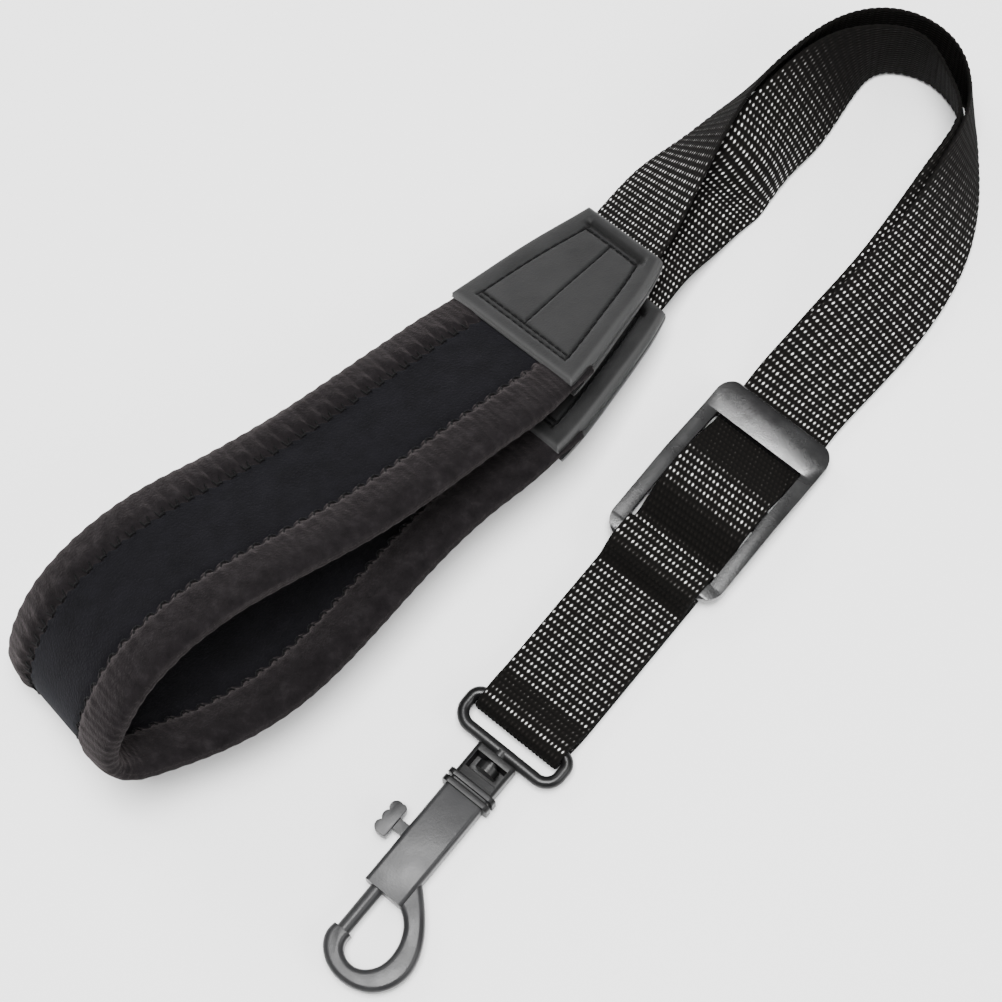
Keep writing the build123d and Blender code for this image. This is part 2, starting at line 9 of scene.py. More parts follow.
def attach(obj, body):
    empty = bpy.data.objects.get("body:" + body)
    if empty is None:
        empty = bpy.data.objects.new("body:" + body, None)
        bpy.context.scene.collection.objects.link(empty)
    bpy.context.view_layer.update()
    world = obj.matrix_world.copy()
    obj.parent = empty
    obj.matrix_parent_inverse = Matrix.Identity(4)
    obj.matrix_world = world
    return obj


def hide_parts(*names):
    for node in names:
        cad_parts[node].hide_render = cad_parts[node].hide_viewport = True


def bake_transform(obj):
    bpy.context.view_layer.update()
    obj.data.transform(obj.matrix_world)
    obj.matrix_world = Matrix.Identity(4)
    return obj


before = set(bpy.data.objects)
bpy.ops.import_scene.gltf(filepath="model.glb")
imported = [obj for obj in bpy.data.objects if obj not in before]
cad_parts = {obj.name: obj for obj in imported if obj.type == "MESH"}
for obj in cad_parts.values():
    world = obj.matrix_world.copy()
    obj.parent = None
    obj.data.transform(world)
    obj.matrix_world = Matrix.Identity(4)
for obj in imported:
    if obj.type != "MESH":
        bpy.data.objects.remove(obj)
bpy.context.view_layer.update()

MM = 0.001
RNG = np.random.default_rng(7)
scene = bpy.context.scene

# ------------------------------------------------------------------ camera
CAMERA_PLACE = Vector((0.1256, -0.1721, 0.5919))
CAMERA_TURN = math.radians(39.3)
CAMERA_TILT = math.radians(72.0)
CAMERA_SENSOR = 36.0
CAMERA_LENS = 92.7


def make_camera():
    """A camera that looks down on the strap, turned about the vertical and tilted from the horizontal."""
    data = bpy.data.cameras.new("camera")
    data.sensor_width = CAMERA_SENSOR
    data.lens = CAMERA_LENS
    data.clip_start = 0.01
    data.clip_end = 50.0
    camera = bpy.data.objects.new("camera", data)
    right = Vector((math.cos(CAMERA_TURN), math.sin(CAMERA_TURN), 0))
    level = Vector((math.sin(CAMERA_TURN), -math.cos(CAMERA_TURN), 0))
    back = level * math.cos(CAMERA_TILT) + Vector((0, 0, math.sin(CAMERA_TILT)))
    rotation = Matrix((right, back.cross(right), back)).transposed()
    camera.matrix_world = Matrix.Translation(CAMERA_PLACE) @ rotation.to_4x4()
    scene.collection.objects.link(camera)
    scene.camera = camera


make_camera()

# ------------------------------------------------------------------ the route of the neck loop
# The same stations as the CAD model's, in metres and degrees: x, y, z of the middle line, azimuth and
# elevation of the direction across the band, and how deep it is dished. It starts above the slider, goes
# up the outer webbing, round the bend, along the pad's upper half, round its fold and back along its lower
# half, and ends above the slider again as the inner webbing.
ROUTE = [
    (.0437, .0370, .00178, 180, 0, 0), (.0438, .0430, .0029, 179, 4, 0),
    (.0444, .0500, .0046, 178, 12, 0), (.0458, .0610, .0066, 178, 23, 0),
    (.0467, .0715, .0082, 181, 29, 0), (.0467, .0814, .0090, 187, 34, 0),
    (.0460, .0910, .0099, 195, 41, 0), (.0442, .1006, .0110, 204, 50, 0),
    (.0410, .1100, .0121, 214, 60, 0), (.0367, .1200, .0129, 222, 73, 0),
    (.0292, .1294, .0129, 230, 80, 0), (.0198, .1336, .0129, 250, 86, 0),
    (.0044, .1314, .0129, 280, 88, 0), (-.0050, .1230, .0129, 315, 86, 0),
    (-.0112, .1090, .0128, 348, 80, 0), (-.0145, .0930, .0126, 349, 71, 0),
    (-.0151, .0783, .0114, 348, 58, 0), (-.0149, .0635, .0100, 348, 38, 0),
    (-.0130, .0455, .0124, 350, 26, 0), (-.0132, .0250, .0183, 349, 28, 0),
    (-.0142, .0023, .0240, 350, 30, 0), (-.0174, -.0204, .0304, 351, 30, 0),
    (-.0236, -.0522, .0370, 350, 30, 0), (-.0295, -.0728, .0410, 348, 31, 0),
    (-.0338, -.0873, .0438, 345, 31, 0), (-.0369, -.1030, .0446, 346, 31, 0),
    (-.0378, -.1150, .0421, 348, 31, 0), (-.0376, -.1233, .0362, 349, 31, 0),
    (-.0370, -.1284, .0294, 350, 32, 0), (-.0356, -.1300, .0234, 350, 32, 0),
    (-.0332, -.1283, .0194, 350, 32, 0), (-.0292, -.1212, .0169, 348, 31, 0),
    (-.0220, -.1076, .0163, 346, 31, 0), (-.0168, -.0912, .0160, 346, 30, 0),
    (-.0148, -.0722, .0158, 347, 30, 0), (-.0143, -.0500, .0155, 348, 30, 0),
    (-.0129, -.0300, .0151, 350, 29, 0), (-.0089, -.0095, .0143, 351, 28, 0),
    (-.0065, .0140, .0123, 350, 26, 0), (-.0056, .0370, .0093, 350, 20, 0),
    (-.0073, .0495, .0066, 353, 11, 0), (-.0073, .0610, .0033, 357, 2, 0),
    (-.0062, .0710, .0028, 360, -8, .002), (-.0030, .0800, .0072, 360, -36, .0045),
    (-.0029, .0892, .0092, 361, -43, .0034), (-.0021, .0983, .0099, 362, -47, .0012),
    (-.0015, .1070, .0109, 365, -54, 0), (.0000, .1165, .0125, 366, -68, 0),
    (.0061, .1262, .0134, 405, -89, 0), (.0142, .1299, .0131, 460, -84, 0),
    (.0241, .1278, .0132, 445, -76, 0), (.0353, .1187, .0138, 405, -73, 0),
    (.0390, .1088, .0134, 394, -60, 0), (.0433, .0905, .0098, 375, -41, 0),
    (.0448, .0715, .0072, 361, -29, 0), (.0445, .0610, .0057, 358, -23, 0),
    (.0441, .0500, .0033, 358, -12, 0), (.0436, .0430, .00165, 359, -4, 0),
    (.0437, .0370, .0006, 360, 0, 0),
]
UPPER_NARROW, UPPER_WIDE, LOWER_WIDE, LOWER_NARROW = 18, 20, 37, 39
OUTER_LEG_TOP, INNER_LEG_TOP = 8, 52
LAST = len(ROUTE) - 1
LEG_X = 0.0437
TANGENT_STEP = 0.05 * MM


def route_values():
    """Rows of position, across direction and dish at the stations."""
    rows = []
    for x, y, z, azimuth, elevation, dish in ROUTE:
        a, e = math.radians(azimuth), math.radians(elevation)
        rows.append((x, y, z, math.cos(e) * math.cos(a), math.cos(e) * math.sin(a), math.sin(e), dish))
    return np.array(rows)


def natural_spline(knots, values):
    """Second derivatives at the knots of the natural cubic spline through the values."""
    count = len(knots)
    steps = np.diff(knots)
    matrix = np.eye(count)
    right = np.zeros_like(values)
    for i in range(1, count - 1):
        matrix[i, i - 1:i + 2] = steps[i - 1] / 6, (steps[i - 1] + steps[i]) / 3, steps[i] / 6
        right[i] = (values[i + 1] - values[i]) / steps[i] - (values[i] - values[i - 1]) / steps[i - 1]
    return np.linalg.solve(matrix, right)


def distances(points):
    """How far along the line each of its points is."""
    return np.concatenate([[0.0], np.cumsum(np.linalg.norm(np.diff(points, axis=0), axis=1))])


VALUES = route_values()
KNOTS = distances(VALUES[:, :3])
CURVATURES = natural_spline(KNOTS, VALUES)


def on_route(s):
    """Rows of position, across direction and dish at the distances s along the route."""
    s = np.asarray(s, float)
    i = np.clip(np.searchsorted(KNOTS, s) - 1, 0, LAST - 1)
    step = (KNOTS[i + 1] - KNOTS[i])[:, None]
    b = (s - KNOTS[i])[:, None] / step
    a = 1 - b
    bend = ((a**3 - a) * CURVATURES[i] + (b**3 - b) * CURVATURES[i + 1]) * step * step / 6
    return a * VALUES[i] + b * VALUES[i + 1] + bend


def unit(v):
    return v / np.linalg.norm(v, axis=-1, keepdims=True)


def route_frames(s):
    """Centres, across directions, outward normals and dishes at the distances s."""
    here = on_route(s)
    along = (on_route(np.asarray(s) + TANGENT_STEP) - on_route(np.asarray(s) - TANGENT_STEP))[:, :3]
    across = unit(here[:, 3:6])
    along = unit(along - (along * across).sum(1)[:, None] * across)
    return here[:, :3], across, np.cross(along, across), np.clip(here[:, 6], 0, None)


# ------------------------------------------------------------------ meshes
def smooth_mesh(name, points, faces, uvs=None, painted_light=None):
    """A smooth mesh object; uvs and weave are per point, and weave holds painted light."""
    mesh = bpy.data.meshes.new(name)
    mesh.from_pydata(np.asarray(points, float).tolist(), [], faces)
    mesh.shade_smooth()
    if uvs is not None:
        layer = mesh.uv_layers.new(name="UVMap")
        index = np.empty(len(mesh.loops), np.int32)
        mesh.loops.foreach_get("vertex_index", index)
        layer.data.foreach_set("uv", np.asarray(uvs, np.float32)[index].ravel())
    if painted_light is not None:
        attribute = mesh.attributes.new("painted_light", "FLOAT", "POINT")
        attribute.data.foreach_set("value", np.asarray(painted_light, np.float32).ravel())
    obj = bpy.data.objects.new(name, mesh)
    scene.collection.objects.link(obj)
    return obj


def ring_faces(n, m):
    """Quads between n closed rings of m points, with flat ends."""
    i, j = np.meshgrid(np.arange(n - 1), np.arange(m), indexing="ij")
    k = (j + 1) % m
    quads = np.stack([i * m + j, i * m + k, (i + 1) * m + k, (i + 1) * m + j], -1).reshape(-1, 4).tolist()
    quads.append(list(range(m - 1, -1, -1)))
    quads.append(list(range((n - 1) * m, n * m)))
    return quads


def ring_object(name, rings, uvs=None, painted_light=None):
    """A closed tube-like mesh through the rings."""
    n, m = rings.shape[:2]
    flat_uv = None if uvs is None else uvs.reshape(-1, 2)
    return smooth_mesh(name, rings.reshape(-1, 3), ring_faces(n, m), flat_uv, painted_light)


# a direction that no thread starts along
ASKEW = (0.31, 0.52, 0.8)


def tube(points, radius, sides=8):
    """The rings of a round thread along the points."""
    points = np.asarray(points, float)
    way = unit(np.gradient(points, axis=0))
    normal = np.cross(way[0], ASKEW)
    normals = []
    for w in way:
        normal = unit(normal - np.dot(normal, w) * w)
        normals.append(normal)
    normals = np.array(normals)
    other = np.cross(way, normals)
    turn = np.arange(sides) * 2 * math.pi / sides
    spokes = (np.cos(turn)[None, :, None] * normals[:, None] + np.sin(turn)[None, :, None] * other[:, None])
    return points[:, None] + radius * spokes


def joined(name, ring_sets):
    """One object from several sets of rings."""
    points, faces, start = [], [], 0
    for rings in ring_sets:
        n, m = rings.shape[:2]
        points.append(rings.reshape(-1, 3))
        faces += [[v + start for v in face] for face in ring_faces(n, m)]
        start += n * m
    return smooth_mesh(name, np.concatenate(points), faces)


# ------------------------------------------------------------------ materials
SHEEN_ROUGHNESS = 0.45


def material(name, color, roughness, specular=0.5, sheen=0.0):
    """A plain material, with its nodes, links and shader for the detail that follows."""
    mat = bpy.data.materials.new(name)
    mat.use_nodes = True
    shader = mat.node_tree.nodes["Principled BSDF"]
    shader.inputs["Base Color"].default_value = (*color, 1)
    shader.inputs["Roughness"].default_value = roughness
    shader.inputs["Specular IOR Level"].default_value = specular
    shader.inputs["Sheen Weight"].default_value = sheen
    shader.inputs["Sheen Roughness"].default_value = SHEEN_ROUGHNESS
    return mat, mat.node_tree.nodes, mat.node_tree.links, shader


def noise_node(nodes, links, source, scale, detail, roughness=0.55):
    node = nodes.new("ShaderNodeTexNoise")
    node.inputs["Scale"].default_value = scale
    node.inputs["Detail"].default_value = detail
    node.inputs["Roughness"].default_value = roughness
    links.new(source, node.inputs["Vector"])
    return node


def ramp_node(nodes, links, source, stops):
    node = nodes.new("ShaderNodeValToRGB")
    elements = node.color_ramp.elements
    while len(elements) < len(stops):
        elements.new(0.5)
    for element, (place, color) in zip(elements, stops):
        element.position = place
        element.color = (*color, 1)
    links.new(source, node.inputs["Fac"])
    return node


def range_node(nodes, links, source, low, high, to_low, to_high):
    node = nodes.new("ShaderNodeMapRange")
    for key, value in zip(("From Min", "From Max", "To Min", "To Max"), (low, high, to_low, to_high)):
        node.inputs[key].default_value = value
    links.new(source, node.inputs["Value"])
    return node


def bump_node(nodes, links, height, distance, strength=1.0, below=None):
    node = nodes.new("ShaderNodeBump")
    node.inputs["Distance"].default_value = distance
    node.inputs["Strength"].default_value = strength
    links.new(height, node.inputs["Height"])
    if below is not None:
        links.new(below.outputs["Normal"], node.inputs["Normal"])
    return node


def mix_node(nodes, links, factor, color, below):
    """A mix of the colour below with the one given, by the factor."""
    node = nodes.new("ShaderNodeMix")
    node.data_type = "RGBA"
    node.inputs["B"].default_value = (*color, 1)
    links.new(factor, node.inputs["Factor"])
    links.new(below, node.inputs["A"])
    return node


def object_coords(nodes):
    return nodes.new("ShaderNodeTexCoord").outputs["Object"]


def painted_light_value(nodes):
    """The painted light that the mesh stores at each of its points: painted glints on the webbing, painted
    shade and highlight on the leather.
    """
    node = nodes.new("ShaderNodeAttribute")
    node.attribute_name = "painted_light"
    return node.outputs["Fac"]


def grey(value, blue=None):
    """A grey, with its own blue where one is given."""
    return (value, value, value if blue is None else blue)


def webbing_material():
    """Black polypropylene webbing: glossy raised yarns with painted glints in the base colour, dark brownish
    gaps.
    """
    mat, nodes, links, shader = material("webbing_weave", (0.004, 0.0035, 0.003), 0.3, specular=0.12)
    painted_light = painted_light_value(nodes)
    # the stored painted light turns the yarn tops light grey to near white: painted glints
    tint = ramp_node(nodes, links, painted_light, [
        (0.0, (0.0012, 0.0010, 0.0008)), (0.32, (0.0042, 0.0034, 0.0028)),
        (0.5, (0.05, 0.049, 0.047)), (0.7, grey(0.34, 0.335)), (0.95, grey(0.85)),
    ])
    links.new(tint.outputs["Color"], shader.inputs["Base Color"])
    rough = range_node(nodes, links, painted_light, 0.1, 0.7, 0.95, 0.3)
    links.new(rough.outputs["Result"], shader.inputs["Roughness"])
    fibres = noise_node(nodes, links, object_coords(nodes), scale=6500, detail=2)
    bump = bump_node(nodes, links, fibres.outputs["Fac"], distance=0.03 * MM, strength=0.4)
    links.new(bump.outputs["Normal"], shader.inputs["Normal"])
    return mat


def jersey_material():
    """Smooth stretch jersey over foam: near black with a blue cast and a fine knit."""
    mat, nodes, links, shader = material("pad_jersey", grey(0.0035, 0.0045), 0.95, specular=0.08, sheen=0.03)
    shader.inputs["Sheen Tint"].default_value = (0.5, 0.52, 0.62, 1)
    coords = object_coords(nodes)
    cloud = noise_node(nodes, links, coords, scale=160, detail=4)
    tint = ramp_node(nodes, links, cloud.outputs["Fac"],
                     [(0.35, (0.0022, 0.0021, 0.0028)), (0.7, (0.0040, 0.0038, 0.0050))])
    links.new(tint.outputs["Color"], shader.inputs["Base Color"])
    knit = noise_node(nodes, links, coords, scale=1700, detail=3)
    soft = noise_node(nodes, links, coords, scale=420, detail=3)
    fine = bump_node(nodes, links, knit.outputs["Fac"], distance=0.3 * MM, strength=0.9)
    bump = bump_node(nodes, links, soft.outputs["Fac"], distance=0.25 * MM, strength=0.5, below=fine)
    links.new(bump.outputs["Normal"], shader.inputs["Normal"])
    return mat


def rib_node(nodes, links):
    """Faint, uneven ribs across the binding."""
    uv = nodes.new("ShaderNodeUVMap")
    uv.uv_map = "UVMap"
    wave = nodes.new("ShaderNodeTexWave")
    wave.wave_type = "BANDS"
    wave.bands_direction = "Y"
    wave.inputs["Scale"].default_value = 160
    wave.inputs["Distortion"].default_value = 2.5
    wave.inputs["Detail"].default_value = 2
    wave.inputs["Detail Scale"].default_value = 3
    links.new(uv.outputs["UV"], wave.inputs["Vector"])
    return wave


def binding_material():
    """Brushed, napped binding with faint ribs across it."""
    color = (0.0065, 0.0055, 0.006)
    mat, nodes, links, shader = material("binding_fabric", color, 0.95, specular=0.08, sheen=0.08)
    shader.inputs["Sheen Tint"].default_value = (0.72, 0.62, 0.62, 1)
    wave = rib_node(nodes, links)
    coords = object_coords(nodes)
    cloud = noise_node(nodes, links, coords, scale=330, detail=4, roughness=0.65)
    tint = ramp_node(nodes, links, cloud.outputs["Fac"], [
        (0.3, (0.0032, 0.0027, 0.0030)), (0.55, (0.0060, 0.0051, 0.0056)), (0.8, (0.0125, 0.0110, 0.0118)),
    ])
    links.new(tint.outputs["Color"], shader.inputs["Base Color"])
    nap = noise_node(nodes, links, coords, scale=1500, detail=4, roughness=0.7)
    ribs = bump_node(nodes, links, wave.outputs["Fac"], distance=0.16 * MM, strength=0.6)
    bump = bump_node(nodes, links, nap.outputs["Fac"], distance=0.3 * MM, strength=0.8, below=ribs)
    links.new(bump.outputs["Normal"], shader.inputs["Normal"])
    return mat


def leather_material():
    """Dark grey leather: pebbled grain, a satin finish, a painted highlight along the rims, and painted shade
    in the sewn grooves and the pressed step.
    """
    mat, nodes, links, shader = material("leather", grey(0.014), 0.5, specular=0.16)
    coords = object_coords(nodes)
    grain = nodes.new("ShaderNodeTexVoronoi")
    grain.feature = "DISTANCE_TO_EDGE"
    grain.inputs["Scale"].default_value = 1250
    links.new(coords, grain.inputs["Vector"])
    cloud = noise_node(nodes, links, coords, scale=90, detail=4)
    tint = ramp_node(nodes, links, cloud.outputs["Fac"],
                     [(0.3, grey(0.012, 0.0122)), (0.75, grey(0.019, 0.0192))])
    shade = painted_light_value(nodes)
    # shade above a half is a painted highlight along the rims; below a half it is painted shade in the
    # grooves and the step
    highlight_share = range_node(nodes, links, shade, 0.5, 1.0, 0.0, 1.0)
    painted_highlight = mix_node(nodes, links, highlight_share.outputs["Result"], grey(0.034), tint.outputs["Color"])
    sunk_shade = range_node(nodes, links, shade, 0.0, 0.5, 1.0, 0.0)
    painted_shade = mix_node(nodes, links, sunk_shade.outputs["Result"], grey(0.0018), painted_highlight.outputs["Result"])
    links.new(painted_shade.outputs["Result"], shader.inputs["Base Color"])
    rough = range_node(nodes, links, cloud.outputs["Fac"], 0.3, 0.7, 0.44, 0.6)
    links.new(rough.outputs["Result"], shader.inputs["Roughness"])
    creases = noise_node(nodes, links, coords, scale=300, detail=5, roughness=0.6)
    low = bump_node(nodes, links, creases.outputs["Fac"], distance=0.3 * MM, strength=0.35)
    bump = bump_node(nodes, links, grain.outputs["Distance"], distance=0.12 * MM, strength=0.35, below=low)
    links.new(bump.outputs["Normal"], shader.inputs["Normal"])
    return mat


def thread_material():
    """Dull black sewing thread with a twist."""
    mat, nodes, links, shader = material("thread", grey(0.002), 0.75, specular=0.12)
    twist = noise_node(nodes, links, object_coords(nodes), scale=2400, detail=2)
    tint = ramp_node(nodes, links, twist.outputs["Fac"],
                     [(0.3, grey(0.0012, 0.0013)), (0.7, grey(0.0034, 0.0036))])
    links.new(tint.outputs["Color"], shader.inputs["Base Color"])
    bump = bump_node(nodes, links, twist.outputs["Fac"], distance=0.08 * MM, strength=0.8)
    links.new(bump.outputs["Normal"], shader.inputs["Normal"])
    return mat


def plastic_material(name, dark, light, roughness, specular):
    """Moulded nylon: satin, with slight flow marks and a fine texture."""
    mat, nodes, links, shader = material(name, light, roughness, specular)
    coords = object_coords(nodes)
    cloud = noise_node(nodes, links, coords, scale=120, detail=4)
    tint = ramp_node(nodes, links, cloud.outputs["Fac"], [(0.3, dark), (0.72, light)])
    links.new(tint.outputs["Color"], shader.inputs["Base Color"])
    rough = range_node(nodes, links, cloud.outputs["Fac"], 0.3, 0.7, roughness - 0.07, roughness + 0.08)
    links.new(rough.outputs["Result"], shader.inputs["Roughness"])
    grit = noise_node(nodes, links, coords, scale=1900, detail=3)
    flow = noise_node(nodes, links, coords, scale=150, detail=2)
    low = bump_node(nodes, links, flow.outputs["Fac"], distance=0.3 * MM, strength=0.25)
    bump = bump_node(nodes, links, grit.outputs["Fac"], distance=0.06 * MM, strength=0.45, below=low)
    links.new(bump.outputs["Normal"], shader.inputs["Normal"])
    return mat


def steel_material():
    """Drawn spring wire."""
    mat, nodes, links, shader = material("spring_steel", grey(0.5, 0.51), 0.3)
    shader.inputs["Metallic"].default_value = 1.0
    drawn = noise_node(nodes, links, object_coords(nodes), scale=900, detail=2)
    rough = range_node(nodes, links, drawn.outputs["Fac"], 0.3, 0.7, 0.22, 0.4)
    links.new(rough.outputs["Result"], shader.inputs["Roughness"])
    return mat


def floor_material():
    """Matt pale floor."""
    mat, nodes, links, shader = material("floor", grey(0.9), 0.85, specular=0.2)
    cloud = noise_node(nodes, links, object_coords(nodes), scale=3, detail=2)
    tint = ramp_node(nodes, links, cloud.outputs["Fac"], [(0.3, grey(0.90)), (0.7, grey(0.92))])
    links.new(tint.outputs["Color"], shader.inputs["Base Color"])
    return mat


WEBBING = webbing_material()
JERSEY = jersey_material()
BINDING = binding_material()
LEATHER = leather_material()
THREAD = thread_material()
SLIDER_PLASTIC = plastic_material("slider_plastic", grey(0.0055, 0.0057), grey(0.0120, 0.0122), 0.26, 0.5)
HOOK_PLASTIC = plastic_material("hook_plastic", grey(0.0125, 0.0132), grey(0.0205, 0.0213), 0.36, 0.22)
RING_PLASTIC = plastic_material("ring_plastic", grey(0.0045, 0.0046), grey(0.0095, 0.0097), 0.34, 0.22)
COLLAR_PLASTIC = plastic_material("collar_plastic", grey(0.0028, 0.0029), grey(0.0065, 0.0067), 0.4, 0.16)
STEEL = steel_material()


def finish_piece(obj, mat):
    """The material and the slot of a piece."""
    obj.data.materials.append(mat)


# ------------------------------------------------------------------ webbing
WEB_WIDTH = 25.0 * MM
WEB_HALF_THICKNESS = 0.55 * MM
LAYER_SPLIT = 0.6 * MM
ROW_PITCH = 1.88 * MM
COLUMN_PITCH = 1.13 * MM
COLUMN_SLANT = 0.3
RELIEF = 0.3 * MM
GLINT_ACROSS, GLINT_ALONG = 0.25, 0.27
SAMPLES_ACROSS = 111
ROW_STEP = 0.31 * MM
EDGE_ROUND = 0.045
EDGE_THINNING = 0.92
SEWN_IN = 20 * MM
# the least share of painted glint left on upright or steep webbing
LEAST_GLINT_SHARE = 0.3


def yarn(across, along):
    """Height of the raised yarns and their painted glint, 0 to 1, at distances across and along the webbing.
    """
    row = np.floor(along / ROW_PITCH)
    v = np.mod(along / ROW_PITCH, 1) - 0.5
    column = across / COLUMN_PITCH + 0.5 * np.mod(row, 2) + COLUMN_SLANT * v
    u = np.mod(column, 1) - 0.5
    # two waves with unrelated steps make each yarn a little different from the next
    steps = np.floor(column)
    uneven = 1 + 0.16 * np.sin(row * 12.9 + steps * 7.7) + 0.1 * np.sin(row * 2.3 - steps * 3.1)
    height = (1 - np.abs(2 * u) ** 2.6) * (1 - np.abs(2 * v) ** 3)
    # a painted glint on each yarn's crest
    painted_glint = np.exp(-((u / GLINT_ACROSS) ** 2) - ((v / GLINT_ALONG) ** 2)) * uneven
    return height * (0.9 + 0.1 * uneven), painted_glint


def bend_glint_share(normals):
    """How much of the yarns' painted glint is left where the webbing turns on edge round the bend: painted
    light, dimmed where the surface stands upright.
    """
    return LEAST_GLINT_SHARE + (1 - LEAST_GLINT_SHARE) * np.clip((np.abs(normals[:, 2]) - 0.35) / 0.4, 0, 1)


def fold_glint_share(centres):
    """How much of the yarns' painted glint is left where the webbing climbs or drops over a bar: painted
    light, dimmed on steep slopes.
    """
    slope = unit(np.gradient(centres, axis=0))[:, 2]
    return LEAST_GLINT_SHARE + (1 - LEAST_GLINT_SHARE) * np.exp(-((slope / 0.4) ** 2))


def webbing(name, centres, across, normals, distance, glint_share, dish=None):
    """A woven strip with its raised yarns on both faces, as a closed mesh, with painted glints stored at its
    points.
    """
    dish = np.zeros(len(centres)) if dish is None else dish
    # half the chord of a strip that is dished by a parabola and keeps its width
    half = (WEB_WIDTH + np.sqrt(WEB_WIDTH**2 - 32 * dish**2 / 3)) / 4
    k = np.linspace(-1, 1, SAMPLES_ACROSS)
    edge = np.clip((np.abs(k) - (1 - EDGE_ROUND)) / EDGE_ROUND, 0, 1)
    body = np.sqrt(1 - EDGE_THINNING * edge**2)
    height, painted_glint = yarn((k[None] + 1) * WEB_WIDTH / 2, distance[:, None])
    # the painted glints fade towards the edges and by the share of glint left
    painted_glint = painted_glint * (1 - edge[None] ** 2) * glint_share[:, None]
    rise = (WEB_HALF_THICKNESS - RELIEF) * body[None] + RELIEF * height * (1 - edge[None] ** 2)
    middle = (centres[:, None] + (half[:, None] * k[None])[..., None] * across[:, None]
              - (dish[:, None] * (1 - k[None] ** 2))[..., None] * normals[:, None])
    top = middle + rise[..., None] * normals[:, None]
    bottom = middle - rise[..., None] * normals[:, None]
    rings = np.concatenate([top, bottom[:, ::-1]], 1)
    return ring_object(name, rings, painted_light=np.concatenate([painted_glint, painted_glint[:, ::-1]], 1))


def finish_webbing(obj, node):
    finish_piece(obj, WEBBING)
    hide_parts(node)


def route_webbing(name, start, end, node):
    """A stretch of webbing that lies along the route."""
    s = np.linspace(start, end, int(abs(end - start) / ROW_STEP) + 2)
    centres, across, normals, dish = route_frames(s)
    obj = webbing(name, centres, across, normals, s, bend_glint_share(normals), dish)
    finish_webbing(obj, node)
    return obj


def neck_webbing():
    """The two webbings from the end patches round the bend to the slider."""
    outer_end = KNOTS[UPPER_NARROW] + SEWN_IN
    inner_start = KNOTS[LOWER_NARROW] - SEWN_IN
    outer_top, inner_top = KNOTS[OUTER_LEG_TOP], KNOTS[INNER_LEG_TOP]
    for layer, start, end in (("outer", outer_top, outer_end), ("inner", inner_start, inner_top)):
        piece = route_webbing(f"{layer}_webbing_bend", start, end, f"{layer}_webbing_run")
        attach(piece, "strap")
    for layer, start, end in (("outer", 0.0, outer_top), ("inner", inner_top, KNOTS[LAST])):
        piece = route_webbing(f"{layer}_webbing_leg", start, end, f"{layer}_webbing_run")
        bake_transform(piece)


# Side views in the plane x = LEG_X, as (y, z) points of the line between the two layers, in metres.
FLAT_Z = 0.001175
THREADED = ([(.0370, FLAT_Z), (.0255, FLAT_Z), (.0134, .00895), (.0036, .00895), (-.0042, FLAT_Z),
             (-.01415, FLAT_Z)], [.0035, .006, .006, .0035])
LOWER = ([(-.01415, FLAT_Z), (-.05315, FLAT_Z)], [])
LOOP = ([(-.05315, FLAT_Z), (-.065975, FLAT_Z), (-.065975, .006725), (-.0619, .006725), (-.0555, .00352),
         (-.05315, .00352)], [.0027, .0027, .003, .003])
RETURN = ([(-.05315, .00352), (-.02285, .0035)], [])
TAIL = ([(-.02285, .0035), (-.0194, .0035), (-.0158, .00905), (-.00895, .00905), (-.00895, .00355),
         (-.0167, .00355)], [.003, .003, .0014, .0014])
PATH_STEP = 0.3 * MM
LOOP_MIDDLE = -0.0645
LOOP_PINCH, LOOP_PINCH_LENGTH = 0.04, 0.005


def rounded_path(points, radii, step):
    """Points along the polyline with its corners rounded."""
    points = [np.array(p) for p in points]
    line = [points[0]]
    for i, radius in enumerate(radii, 1):
        before, after = unit(points[i] - points[i - 1]), unit(points[i + 1] - points[i])
        turn = math.acos(float(np.clip(np.dot(before, after), -1, 1)))
        side = math.copysign(1, before[0] * after[1] - before[1] * after[0])
        cut = radius * math.tan(turn / 2)
        start = points[i] - cut * before
        centre = start + radius * side * np.array([-before[1], before[0]])
        for a in np.linspace(0, side * turn, max(3, int(radius * turn / step))):
            c, d = math.cos(a), math.sin(a)
            spoke = start - centre
            line.append(centre + np.array([c * spoke[0] - d * spoke[1], d * spoke[0] + c * spoke[1]]))
    line.append(points[-1])
    line = np.array(line)
    gaps = distances(line)
    keep = np.concatenate([[True], np.diff(gaps) > 1e-7])
    even = np.linspace(0, gaps[-1], int(gaps[-1] / step) + 2)
    return np.stack([np.interp(even, gaps[keep], line[keep, i]) for i in (0, 1)], 1)


def layer_line(path, side):
    """One layer's middle line, in even steps: its points, its normals and the distances along it."""
    line = rounded_path(*path, PATH_STEP)
    way = unit(np.gradient(line, axis=0))
    left = np.stack([-way[:, 1], way[:, 0]], 1)
    centre = line + side * LAYER_SPLIT * left
    gaps = distances(centre)
    even = np.linspace(0, gaps[-1], int(gaps[-1] / ROW_STEP) + 2)
    y, z, normal_y, normal_z = (np.interp(even, gaps, values) for values in (*centre.T, *left.T))
    centres = np.stack([np.full_like(y, LEG_X), y, z], 1)
    normals = unit(np.stack([np.zeros_like(y), normal_y, normal_z], 1))
    return centres, normals, even


